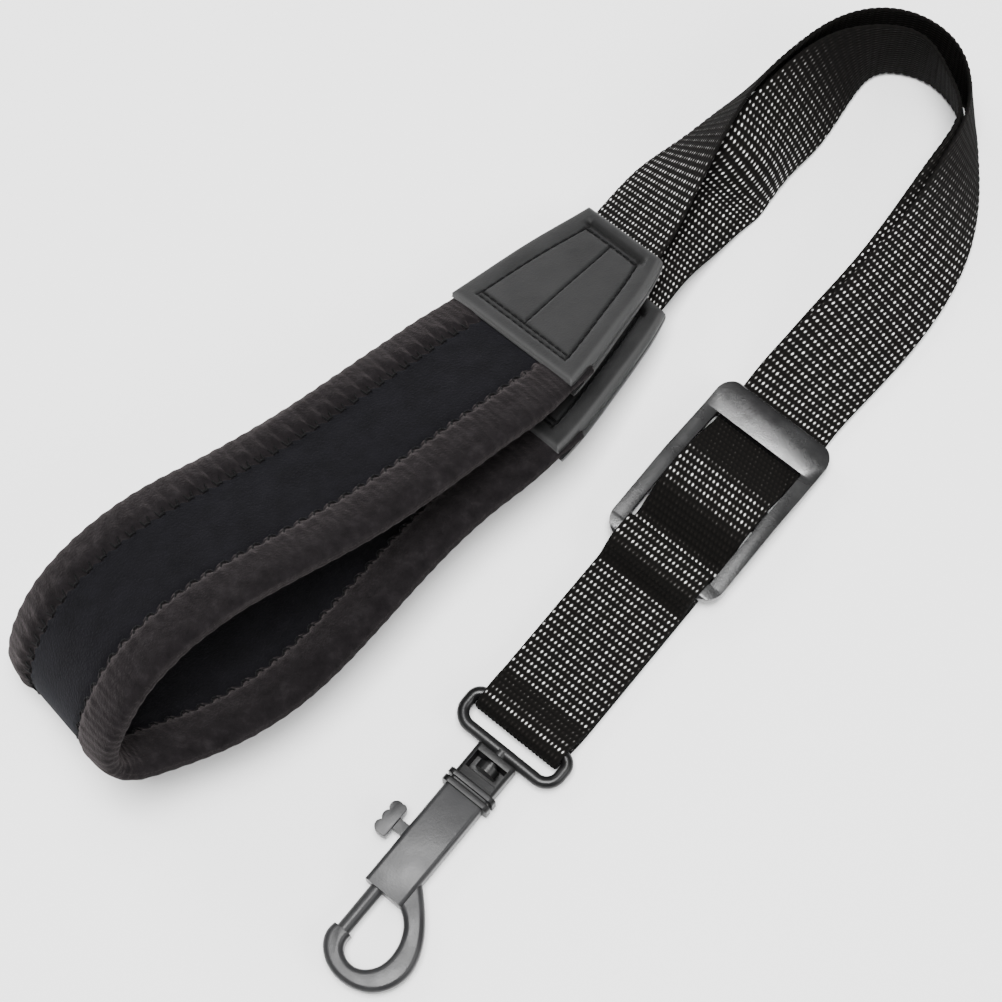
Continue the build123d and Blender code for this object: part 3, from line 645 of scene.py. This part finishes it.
def leg_webbing():
    """The doubled webbing from the slider to the ring and back, in pieces that ride on different bodies."""
    plan = (("threaded", THREADED, "slider"), ("lower", LOWER, None), ("loop", LOOP, "hook_loop"),
            ("return", RETURN, None), ("tail", TAIL, "slider"))
    for layer, side in (("outer", -1), ("inner", 1)):
        travelled = 0.0
        for stretch, path, body in plan:
            centres, normals, even = layer_line(path, side)
            across = np.tile([1.0, 0.0, 0.0], (len(even), 1))
            if stretch == "loop":
                from_middle = (centres[:, 1] - LOOP_MIDDLE) / LOOP_PINCH_LENGTH
                across = across * (1 - LOOP_PINCH * np.exp(-from_middle**2))[:, None]
            node = f"{layer}_webbing_{stretch}"
            distance = -(travelled + even)
            piece = webbing(f"{node}_weave", centres, across, -side * normals, distance, fold_glint_share(centres))
            finish_webbing(piece, node)
            if body:
                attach(piece, body)
            else:
                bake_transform(piece)
            travelled += even[-1]


neck_webbing()
leg_webbing()

# ------------------------------------------------------------------ padded band
PAD_HALF = 25.5 * MM
PAD_HALF_THICKNESS = 1.9 * MM
PAD_TUCK = 8 * MM
PAD_START = KNOTS[UPPER_WIDE] - PAD_TUCK
PAD_END = KNOTS[LOWER_WIDE] + PAD_TUCK
PAD_AROUND = 96
PAD_SECTIONS = 150
SQUEEZED_SHARE, SQUEEZE_LENGTH = 0.34, 14 * MM
END_NARROWING = 1.3 * MM
BINDING_ROOM = 0.6 * MM
SEAM_DIP, SEAM_DIP_WIDTH = 0.2, 1.8 * MM
FINER_ALONG, FINER_AROUND = 4, 2

INFLATE_FRAMES = 20
INFLATE_LIMIT = 0.9 * MM
HELD_SECTIONS = 6
HELD_SEAM = 1.1 * MM

STITCH_PITCH = 3.9 * MM
ZIGZAG = 1.0 * MM
# the zigzag's corners in one pitch: a share of the pitch, and how far across
ZIGZAG_CORNERS = ((0, -0.9), (0.16, 0.9), (0.58, 0.75), (0.7, -0.9))
ZIGZAG_SPLITS = 4
THREAD_RADIUS = 0.24 * MM
THREAD_OFFSET = 0.2 * MM
THREAD_HEIGHT, THREAD_ARCH = 0.25 * MM, 0.35 * MM

# the core's cover under the bindings, and the dip along their seams
UNDER_DROP, UNDER_START, UNDER_RUN = 0.55 * MM, 0.2 * MM, 1.0 * MM
SEAM_PULL, SEAM_PULL_WIDTH = 0.35 * MM, 0.9 * MM
# the bindings' heights above the skin
BINDING_RISE = 1.1 * MM
LIFT_AT_SEAM, LIFT_BEYOND = 0.12 * MM, 0.55 * MM
SWELL_HEIGHT, SLACK_HEIGHT = 0.4 * MM, 0.05 * MM
SLACK_KNOTS = 90
LINING_DEPTH = 0.1 * MM
TURNED_UNDER, TURN_DEPTH = 1.6 * MM, 0.75 * MM
UV_STEP = 0.6 * MM

# Left and right values: how far the bindings' edges are from the pad's middle line, how deep the edges
# are scalloped, and the places, heights and reaches of the puckers and the zigzag.
SEAM = (14.3 * MM, 12.8 * MM)
SCALLOP = (1.95 * ZIGZAG, 1.3 * ZIGZAG)
PUFF_REACH = (2.2 * MM, 1.7 * MM)
PUFF_HEIGHT = (0.85 * MM, 0.5 * MM)
ZIGZAG_REACH = (1.9 * ZIGZAG, 1.1 * ZIGZAG)


def by_side(u, pair):
    """The left value of the pair where u is negative, and the right one elsewhere."""
    return np.where(np.asarray(u) < 0, *pair)


def pad_squeeze(s):
    """How much of its thickness the pad has: less where the patches hold its ends."""
    inward = np.minimum(s - KNOTS[UPPER_WIDE], KNOTS[LOWER_WIDE] - s)
    share = np.clip(inward / SQUEEZE_LENGTH, 0, 1)
    return SQUEEZED_SHARE + (1 - SQUEEZED_SHARE) * np.sin(share * math.pi / 2)


def pad_ring_shape(count):
    """Places round the pad's cross-section: across from -1 to 1 and up from -1 to 1, a flat oval."""
    t = np.arange(count) * 2 * math.pi / count
    u = np.sign(np.cos(t)) * np.abs(np.cos(t)) ** 0.55
    v = np.sign(np.sin(t)) * np.abs(np.sin(t)) ** 0.42
    return u, v


def pad_rings(sections, around):
    """The pad's cross-sections along the route, dipped at the binding's seams."""
    s = np.linspace(PAD_START, PAD_END, sections)
    centres, across, normals, _ = route_frames(s)
    u, v = pad_ring_shape(around)
    squeeze = pad_squeeze(s)
    half = PAD_HALF - END_NARROWING * (1 - squeeze) - BINDING_ROOM
    dip = SEAM_DIP * np.exp(-(((np.abs(u) * PAD_HALF - by_side(u, SEAM)) / SEAM_DIP_WIDTH) ** 2))
    up = v * PAD_HALF_THICKNESS * (1 - dip)
    rings = (centres[:, None] + (half[:, None] * u[None])[..., None] * across[:, None]
             + (squeeze[:, None] * up[None])[..., None] * normals[:, None])
    return s, rings, u


def inflate(rings, u):
    """Cloth simulation of the pad's cover, held at its seams and ends, returned as moved rings."""
    n, m = rings.shape[:2]
    obj = ring_object("pad_cover_trial", rings)
    held = obj.vertex_groups.new(name="held")
    held_round = np.abs(np.abs(u) * PAD_HALF - by_side(u, SEAM)) < HELD_SEAM
    held_along = [i < HELD_SECTIONS or i >= n - HELD_SECTIONS for i in range(n)]
    fixed = [i * m + j for i in range(n) for j in range(m) if held_round[j] or held_along[i]]
    held.add(fixed, 1.0, "REPLACE")
    cloth = obj.modifiers.new("Cloth", "CLOTH")
    settings = cloth.settings
    settings.quality = 6
    settings.mass = 0.15
    settings.tension_stiffness = 12
    settings.compression_stiffness = 12
    settings.shear_stiffness = 5
    settings.bending_stiffness = 0.6
    settings.use_pressure = True
    settings.uniform_pressure_force = 4.0
    settings.effector_weights.gravity = 0.0
    settings.vertex_group_mass = "held"
    cloth.collision_settings.use_collision = False
    cloth.point_cache.frame_end = INFLATE_FRAMES
    for step in range(1, INFLATE_FRAMES + 1):
        scene.frame_set(step)
    evaluated = obj.evaluated_get(bpy.context.evaluated_depsgraph_get())
    moved = np.empty(n * m * 3, np.float32)
    evaluated.data.vertices.foreach_get("co", moved)
    scene.frame_set(1)
    bpy.data.objects.remove(obj)
    change = moved.reshape(n, m, 3).astype(float) - rings
    size = np.linalg.norm(change, axis=-1, keepdims=True)
    change = change * np.minimum(1, INFLATE_LIMIT / np.maximum(size, 1e-9))
    for _ in range(2):
        change[1:-1] = (change[:-2] + 2 * change[1:-1] + change[2:]) / 4
    return rings + change


def catmull_rom(a, b, c, d, part):
    """The smooth curve from b to c, at the share part of the way."""
    return b + 0.5 * part * (c - a + part * (2 * a - 5 * b + 4 * c - d + part * (3 * (b - c) + d - a)))


def refine(rings, times_along, times_around):
    """The same surface with more rings and more points round each."""
    n, m = rings.shape[:2]
    i = np.linspace(0, n - 1, (n - 1) * times_along + 1)
    low = np.minimum(i.astype(int), n - 2)
    before, after = np.maximum(low - 1, 0), np.minimum(low + 2, n - 1)
    part = (i - low)[:, None, None]
    longer = catmull_rom(rings[before], rings[low], rings[low + 1], rings[after], part)
    j = np.arange(m * times_around) / times_around
    k = j.astype(int)
    part = (j - k)[None, :, None]
    return catmull_rom(*(longer[:, (k + offset) % m] for offset in (-1, 0, 1, 2)), part)


def outward_normals(rings):
    """The surface's normals, pointing out of the rings."""
    along = np.gradient(rings, axis=0)
    around = np.roll(rings, -1, 1) - np.roll(rings, 1, 1)
    normals = unit(np.cross(around, along))
    from_middle = rings - rings.mean(1, keepdims=True)
    return normals * np.sign((from_middle * normals).sum(-1).mean())


class PadSurface:
    """The pad's skin before its pieces are made from it, and how far beyond the bindings' edges it is."""

    def __init__(self):
        s, rings, u = pad_rings(PAD_SECTIONS, PAD_AROUND)
        rings = inflate(rings, u)
        self.skin = refine(rings, FINER_ALONG, FINER_AROUND)
        self.s = np.linspace(s[0], s[-1], len(self.skin))
        self.u = refine(np.repeat(u[None, :, None], 2, 0), 1, FINER_AROUND)[0, :, 0]
        self.normals = outward_normals(self.skin)
        self.across = np.abs(self.u) * PAD_HALF
        self.wave = np.mod(self.s / STITCH_PITCH, 1)
        scallop = 0.5 - np.abs(2 * self.wave - 1)
        edge = by_side(self.u, SEAM)[None] + scallop[:, None] * by_side(self.u, SCALLOP)[None]
        self.beyond = self.across[None] - edge
        around = np.cumsum(np.full(len(self.u), UV_STEP))
        self.uv = np.stack(np.broadcast_arrays(around[None], self.s[:, None]), -1)


def pad_core(pad):
    """The core's cover: pulled down under the bindings and along their seams."""
    under = np.clip((pad.beyond - UNDER_START) / UNDER_RUN, 0, 1) * UNDER_DROP
    pull = np.exp(-((pad.beyond / SEAM_PULL_WIDTH) ** 2)) * SEAM_PULL
    piece = ring_object("pad_core_cover", pad.skin - pad.normals * (under + pull)[..., None], pad.uv)
    finish_piece(piece, JERSEY)
    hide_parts("pad_core")
    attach(piece, "strap")


def binding_lift(pad):
    """How far the bindings stand above the skin: swollen over the edge, puffed between the stitch holes."""
    squeeze = pad_squeeze(pad.s)[:, None]
    over = np.clip(pad.beyond / BINDING_RISE, 0, 1)
    swell = np.sin(np.clip(pad.beyond / (PAD_HALF - by_side(pad.u, SEAM)), 0, 1) * math.pi) ** 0.7
    reach, height = by_side(pad.u, PUFF_REACH), by_side(pad.u, PUFF_HEIGHT)
    between_stitches = (np.abs(np.sin(math.pi * pad.wave)) - 0.5)[:, None]
    puff = height * np.exp(-(((pad.beyond - reach) / reach) ** 2)) * between_stitches
    lift = LIFT_AT_SEAM + LIFT_BEYOND * over**0.6 + squeeze * (SWELL_HEIGHT * swell + puff)
    knots = np.linspace(pad.s[0], pad.s[-1], SLACK_KNOTS)
    slack = np.interp(pad.s, knots, RNG.normal(0, 1, SLACK_KNOTS))[:, None]
    return lift + squeeze * swell * SLACK_HEIGHT * slack


def pad_bindings(pad):
    """The bindings: shells over the core's edges, turned under where they are sewn."""
    shell = pad.skin + pad.normals * binding_lift(pad)[..., None]
    lining = pad.skin - pad.normals * LINING_DEPTH
    for name, side in (("left", -1), ("right", 1)):
        order = np.where((np.sign(pad.u) == side) & (pad.across > by_side(side, SEAM) - TURNED_UNDER))[0]
        gap = np.where(np.diff(order) > 1)[0]
        if len(gap):
            order = np.concatenate([order[gap[0] + 1:], order[:gap[0] + 1]])
        fold = np.clip(-pad.beyond[:, order] / TURNED_UNDER, 0, 1)
        outer = shell[:, order] - fold[..., None] * TURN_DEPTH * pad.normals[:, order]
        rings = np.concatenate([outer, lining[:, order][:, ::-1]], 1)
        uv = pad.uv[:, order]
        piece = ring_object(f"pad_binding_{name}_cover", rings, np.concatenate([uv, uv[:, ::-1]], 1))
        finish_piece(piece, BINDING)
        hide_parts(f"pad_binding_{name}")
        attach(piece, "strap")


def zigzag_corners(start, end):
    """The zigzag's corners between two distances along the pad: how far along, and how far across."""
    first = math.ceil(start / STITCH_PITCH)
    corners = []
    for count in range(int((end - start) / STITCH_PITCH)):
        base = (first + count) * STITCH_PITCH
        corners += [(base + share * STITCH_PITCH, across) for share, across in ZIGZAG_CORNERS]
    return [corner for corner in corners if corner[0] < end]


def on_pad(grid, section, u, order, across):
    """The grid's value at a fractional section and a place across, on the columns in order."""
    row = int(section)
    part = section - row
    values = grid[row, order] * (1 - part) + grid[min(row + 1, len(grid) - 1), order] * part
    return np.array([np.interp(across, u[order], values[:, axis]) for axis in range(3)])


def zigzag_path(pad, corners, order, side):
    """The thread's path along one edge of a binding, arched between its corners."""
    path = []
    for (s0, across0), (s1, across1) in zip(corners[:-1], corners[1:]):
        for t in np.arange(ZIGZAG_SPLITS) / ZIGZAG_SPLITS:
            reach = by_side(side, ZIGZAG_REACH) * (across0 + (across1 - across0) * t)
            across = side * (by_side(side, SEAM) + THREAD_OFFSET + reach) / PAD_HALF
            section = np.interp(s0 + (s1 - s0) * t, pad.s, np.arange(len(pad.s)))
            arch = THREAD_HEIGHT + THREAD_ARCH * math.sin(math.pi * t)
            spot = on_pad(pad.skin, section, pad.u, order, across)
            path.append(spot + on_pad(pad.normals, section, pad.u, order, across) * arch)
    return path


def zigzag_threads(pad):
    """The zigzag threads along the four edges of the bindings."""
    inside = pad.s[(pad.s > KNOTS[UPPER_WIDE] + 1 * MM) & (pad.s < KNOTS[LOWER_WIDE] - 1 * MM)]
    corners = zigzag_corners(inside[0], inside[-1])
    top = np.arange(len(pad.u) // 2)
    for face, columns in (("outer", top), ("inner", top + len(top))):
        order = columns[np.argsort(pad.u[columns])]
        for name, side in (("left", -1), ("right", 1)):
            path = zigzag_path(pad, corners, order, side)
            piece = ring_object(f"zigzag_{face}_{name}", tube(path, THREAD_RADIUS))
            finish_piece(piece, THREAD)
            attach(piece, "strap")


PAD = PadSurface()
pad_core(PAD)
pad_bindings(PAD)
zigzag_threads(PAD)

# ------------------------------------------------------------------ leather patches
PATCH_WIDE_HALF = 25.0 * MM
PATCH_NARROW_HALF = 14.3 * MM
PATCH_FLARE = 1.25
PATCH_ROWS, PATCH_COLUMNS = 130, 150
LEATHER_THICKNESS = 1.35 * MM
LEAST_THICKNESS = 0.12 * MM
NARROW_LIFT, WIDE_LIFT = 0.62 * MM, 1.15 * MM
RIM_ROUND = 1.0 * MM
PANEL_INSET = 6.2 * MM
BORDER_CROWN, PANEL_CROWN, CROWN_RUN = 0.25 * MM, 0.18 * MM, 6 * MM
SEAM_MARGIN = 0.6 * MM
SEAM_DEPTH = 0.42 * MM
SIDE_SEAM_WIDTH, NARROW_SEAM_WIDTH, SEAM_WIDTH = 0.5 * MM, 0.6 * MM, 0.45 * MM
END_SEAMS = (4.2 * MM, 5.6 * MM)
STEP_PLACE, STEP_WIDTH, STEP_DEPTH = 4.1 * MM, 1.4 * MM, 0.95 * MM
STEP_SIDE, STEP_RUN = 3.6 * MM, 1.6 * MM
RIM_CLOSED, PAD_CLEAR, CLOSING = 1.6 * MM, 8.2 * MM, 0.6 * MM
STITCH_LENGTH = 2.9 * MM
STITCH_GAP = 0.35 * MM
STITCH_RADIUS = 0.34 * MM
STITCH_POINTS, STITCH_SIDES = 7, 7
STITCH_HEIGHT, STITCH_ARCH = 0.85 * MM, 0.3 * MM
BACK_SHADE = 0.4


def patch_frame(narrow, wide, share):
    """Centres, directions, half widths and lifts at shares of the way from the narrow to the wide end."""
    share = np.clip(share, 0, 1)
    centres, across, normals, _ = route_frames(narrow + (wide - narrow) * share)
    half = PATCH_NARROW_HALF + (PATCH_WIDE_HALF - PATCH_NARROW_HALF) * (1 - (1 - share) ** PATCH_FLARE)
    return centres, across, normals, half, NARROW_LIFT + (WIDE_LIFT - NARROW_LIFT) * share


def groove(distance, width):
    return np.exp(-((distance / width) ** 2))


def patch_relief(length, share, half, u):
    """Over one leather layer: its height, its painted shade and highlight, and where its rim is closed
    against the other layer.
    """
    from_side = half[:, None] - np.abs(u)
    from_wide = (length * (1 - share))[:, None] + 0 * u
    from_narrow = (length * share)[:, None] + 0 * u
    border = np.minimum(np.minimum(from_side, from_wide), from_narrow)
    # a rolled rim round crowned panels
    rim = np.sqrt(np.clip(1 - (1 - np.clip(border / RIM_ROUND, 0, 1)) ** 2, 0, 1))
    crown = np.sin(np.clip((from_side - PANEL_INSET) / CROWN_RUN, 0, 1) * math.pi / 2)
    height = LEATHER_THICKNESS * rim + PANEL_CROWN * crown * (border > PANEL_INSET)
    height = height + BORDER_CROWN * np.sin(np.clip(border / PANEL_INSET, 0, 1) * math.pi)
    # the sewn lines
    between_sides = from_side > PANEL_INSET - SEAM_MARGIN
    between_ends = (from_narrow > PANEL_INSET - 1 * MM) * (from_wide > END_SEAMS[0] - SEAM_MARGIN)
    sides = groove(from_side - PANEL_INSET, SIDE_SEAM_WIDTH) * between_ends
    ends = [groove(from_narrow - PANEL_INSET, NARROW_SEAM_WIDTH) * between_sides]
    ends += [groove(from_wide - place, SEAM_WIDTH) * between_sides for place in END_SEAMS]
    middle = groove(u, SEAM_WIDTH) * (from_narrow > PANEL_INSET) * (from_wide > END_SEAMS[1] - SEAM_MARGIN)
    sewn = np.max([sides, middle, *ends], axis=0)
    # the pressed step near the narrow end
    step = groove(from_narrow - STEP_PLACE, STEP_WIDTH) * np.clip((from_side - STEP_SIDE) / STEP_RUN, 0, 1)
    height = np.maximum(height - SEAM_DEPTH * sewn - STEP_DEPTH * step, LEAST_THICKNESS * rim)
    # the shade is painted light: painted shade in the sewn grooves and the pressed step, a painted highlight
    # along the rim
    sunk_shade = np.clip(1.3 * step, 0, 1)
    shade = 0.5 - 0.5 * np.maximum(sewn, sunk_shade) + 0.5 * groove(border - 0.5 * MM, 0.7 * MM) * (1 - sunk_shade)
    # the rims of the two layers meet beside the webbing, up to where the pad comes in
    near_rim = np.clip((RIM_CLOSED - from_side) / CLOSING, 0, 1)
    closed = near_rim * np.clip((from_wide - PAD_CLEAR) / CLOSING, 0, 1)
    return height, shade, closed


def leather_patch(place, narrow, wide, layer, side):
    """One leather layer of an end patch, on the side of the band that side says."""
    share = np.linspace(0, 1, PATCH_ROWS)
    centres, across, normals, half, lift = patch_frame(narrow, wide, share)
    u = half[:, None] * np.linspace(-1, 1, PATCH_COLUMNS)[None]
    height, shade, closed = patch_relief(abs(wide - narrow), share, half, u)
    base = lift[:, None]
    outward = side * normals[:, None]
    spot = centres[:, None] + u[..., None] * across[:, None]
    top = spot + (base + height)[..., None] * outward
    bottom = spot + (base * (1 - closed))[..., None] * outward
    rings = np.concatenate([top, bottom[:, ::-1]], 1)
    shades = np.concatenate([shade, np.full_like(shade, BACK_SHADE)], 1)
    if (side < 0) != (wide < narrow):
        rings, shades = rings[:, ::-1], shades[:, ::-1]
    piece = ring_object(f"{place}_patch_{layer}_cover", rings, painted_light=shades)
    finish_piece(piece, LEATHER)
    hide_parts(f"{place}_patch_{layer}")
    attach(piece, "strap")


def seam_lines(narrow, wide):
    """The patch's sewn lines, each as points: how far from the narrow end, and how far across."""
    length = abs(wide - narrow)
    near_end, far_end = length - END_SEAMS[0], length - END_SEAMS[1]

    def panel_half(distance):
        return float(patch_frame(narrow, wide, np.array([distance / length]))[3][0]) - PANEL_INSET

    spots = np.linspace(PANEL_INSET, near_end, 12)
    lines = [[(spot, sign * panel_half(spot)) for spot in spots] for sign in (-1, 1)]
    crossings = (PANEL_INSET, near_end, far_end)
    lines += [[(spot, -panel_half(spot)), (spot, panel_half(spot))] for spot in crossings]
    lines.append([(PANEL_INSET, 0.0), (far_end, 0.0)])
    return [np.array(line) for line in lines]


def patch_stitches(place, narrow, wide, layer, side):
    """Separate stitches of dark thread in the grooves."""
    arch = np.sin(np.linspace(0, math.pi, STITCH_POINTS)) * STITCH_ARCH + STITCH_HEIGHT
    stitches = []
    for line in seam_lines(narrow, wide):
        gaps = distances(line)
        count = max(2, round(gaps[-1] / STITCH_LENGTH))
        pitch = gaps[-1] / count
        for start in np.arange(count) * pitch:
            t = np.linspace(start + STITCH_GAP, start + pitch - STITCH_GAP, STITCH_POINTS)
            along, u = (np.interp(t, gaps, line[:, i]) for i in (0, 1))
            centres, across, normals, _, lift = patch_frame(narrow, wide, along / abs(wide - narrow))
            spots = centres + u[:, None] * across + (side * (lift + arch))[:, None] * normals
            stitches.append(tube(spots, STITCH_RADIUS, STITCH_SIDES))
    piece = joined(f"{place}_patch_{layer}_stitches", stitches)
    finish_piece(piece, THREAD)
    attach(piece, "strap")


PATCHES = (
    ("upper", KNOTS[UPPER_NARROW], KNOTS[UPPER_WIDE]),
    ("lower", KNOTS[LOWER_NARROW], KNOTS[LOWER_WIDE]),
)
for patch_place, narrow_end, wide_end in PATCHES:
    for patch_layer, patch_side in (("outer", 1), ("inner", -1)):
        leather_patch(patch_place, narrow_end, wide_end, patch_layer, patch_side)
        patch_stitches(patch_place, narrow_end, wide_end, patch_layer, patch_side)

# ------------------------------------------------------------------ hard parts
WELD = 0.002 * MM
FLAT_ANGLE = math.radians(1)
EDGE_ANGLE = math.radians(35)


def dress(node, mat):
    """A CAD part that keeps its shape, with its own finish."""
    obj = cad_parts[node]
    obj.data.materials.clear()
    obj.data.materials.append(mat)


def moulded(node, mat, body, bevel):
    """A copy of a CAD part with the softened edges of a moulding, in its place."""
    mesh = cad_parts[node].data.copy()
    mesh.materials.clear()
    obj = bpy.data.objects.new(f"{node}_moulded", mesh)
    scene.collection.objects.link(obj)
    work = bmesh.new()
    work.from_mesh(mesh)
    bmesh.ops.remove_doubles(work, verts=work.verts, dist=WELD)
    bmesh.ops.dissolve_limit(work, angle_limit=FLAT_ANGLE, verts=work.verts, edges=work.edges)
    work.to_mesh(mesh)
    work.free()
    mesh.shade_smooth()
    edge = obj.modifiers.new("moulded_edges", "BEVEL")
    edge.width = bevel
    edge.segments = 3
    edge.limit_method = "ANGLE"
    edge.angle_limit = EDGE_ANGLE
    edge.harden_normals = True
    finish_piece(obj, mat)
    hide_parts(node)
    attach(obj, body)


moulded("slider_frame", SLIDER_PLASTIC, "slider", 0.45 * MM)
moulded("swivel_collar", COLLAR_PLASTIC, "hook", 0.3 * MM)
moulded("hook_body", HOOK_PLASTIC, "hook", 0.35 * MM)
moulded("thumb_lever", HOOK_PLASTIC, "bolt", 0.35 * MM)
dress("swivel_ring", RING_PLASTIC)
dress("spring_bolt", HOOK_PLASTIC)
dress("bolt_spring", STEEL)

# ------------------------------------------------------------------ floor and light
FLOOR_HALF = 6
FLOOR_DROP = 0.6 * MM
WORLD_STRENGTH = 0.35
# name, place, where it points, side of its square, power
LIGHTS = (
    ("key_box", (0.06, -0.16, 1.3), (0, 0, 0), 0.5, 44),
    ("gloss_box", (-0.12, 0.30, 1.25), (0.04, 0, 0), 0.3, 3.2),
    ("right_box", (1.1, 0.2, 0.9), (0, 0, 0), 0.7, 10),
    ("left_box", (-1.0, 0.1, 0.9), (0, 0, 0), 0.7, 8),
)


def floor():
    """A plain floor just under the strap."""
    h = FLOOR_HALF
    mesh = bpy.data.meshes.new("floor")
    mesh.from_pydata([(-h, -h, 0), (h, -h, 0), (h, h, 0), (-h, h, 0)], [], [(0, 1, 2, 3)])
    obj = bpy.data.objects.new("floor", mesh)
    obj.location.z = -FLOOR_DROP
    mesh.materials.append(floor_material())
    scene.collection.objects.link(obj)


def area_light(name, place, target, side, power):
    """A square soft light."""
    data = bpy.data.lights.new(name, "AREA")
    data.shape = "RECTANGLE"
    data.size, data.size_y = side, side
    data.energy = power
    obj = bpy.data.objects.new(name, data)
    obj.location = place
    obj.rotation_euler = (Vector(target) - Vector(place)).to_track_quat("-Z", "Y").to_euler()
    scene.collection.objects.link(obj)


def white_world():
    """Even white light from all round."""
    world = bpy.data.worlds.new("studio")
    world.use_nodes = True
    background = world.node_tree.nodes["Background"]
    background.inputs["Color"].default_value = (1, 1, 1, 1)
    background.inputs["Strength"].default_value = WORLD_STRENGTH
    scene.world = world


floor()
for light in LIGHTS:
    area_light(*light)
white_world()
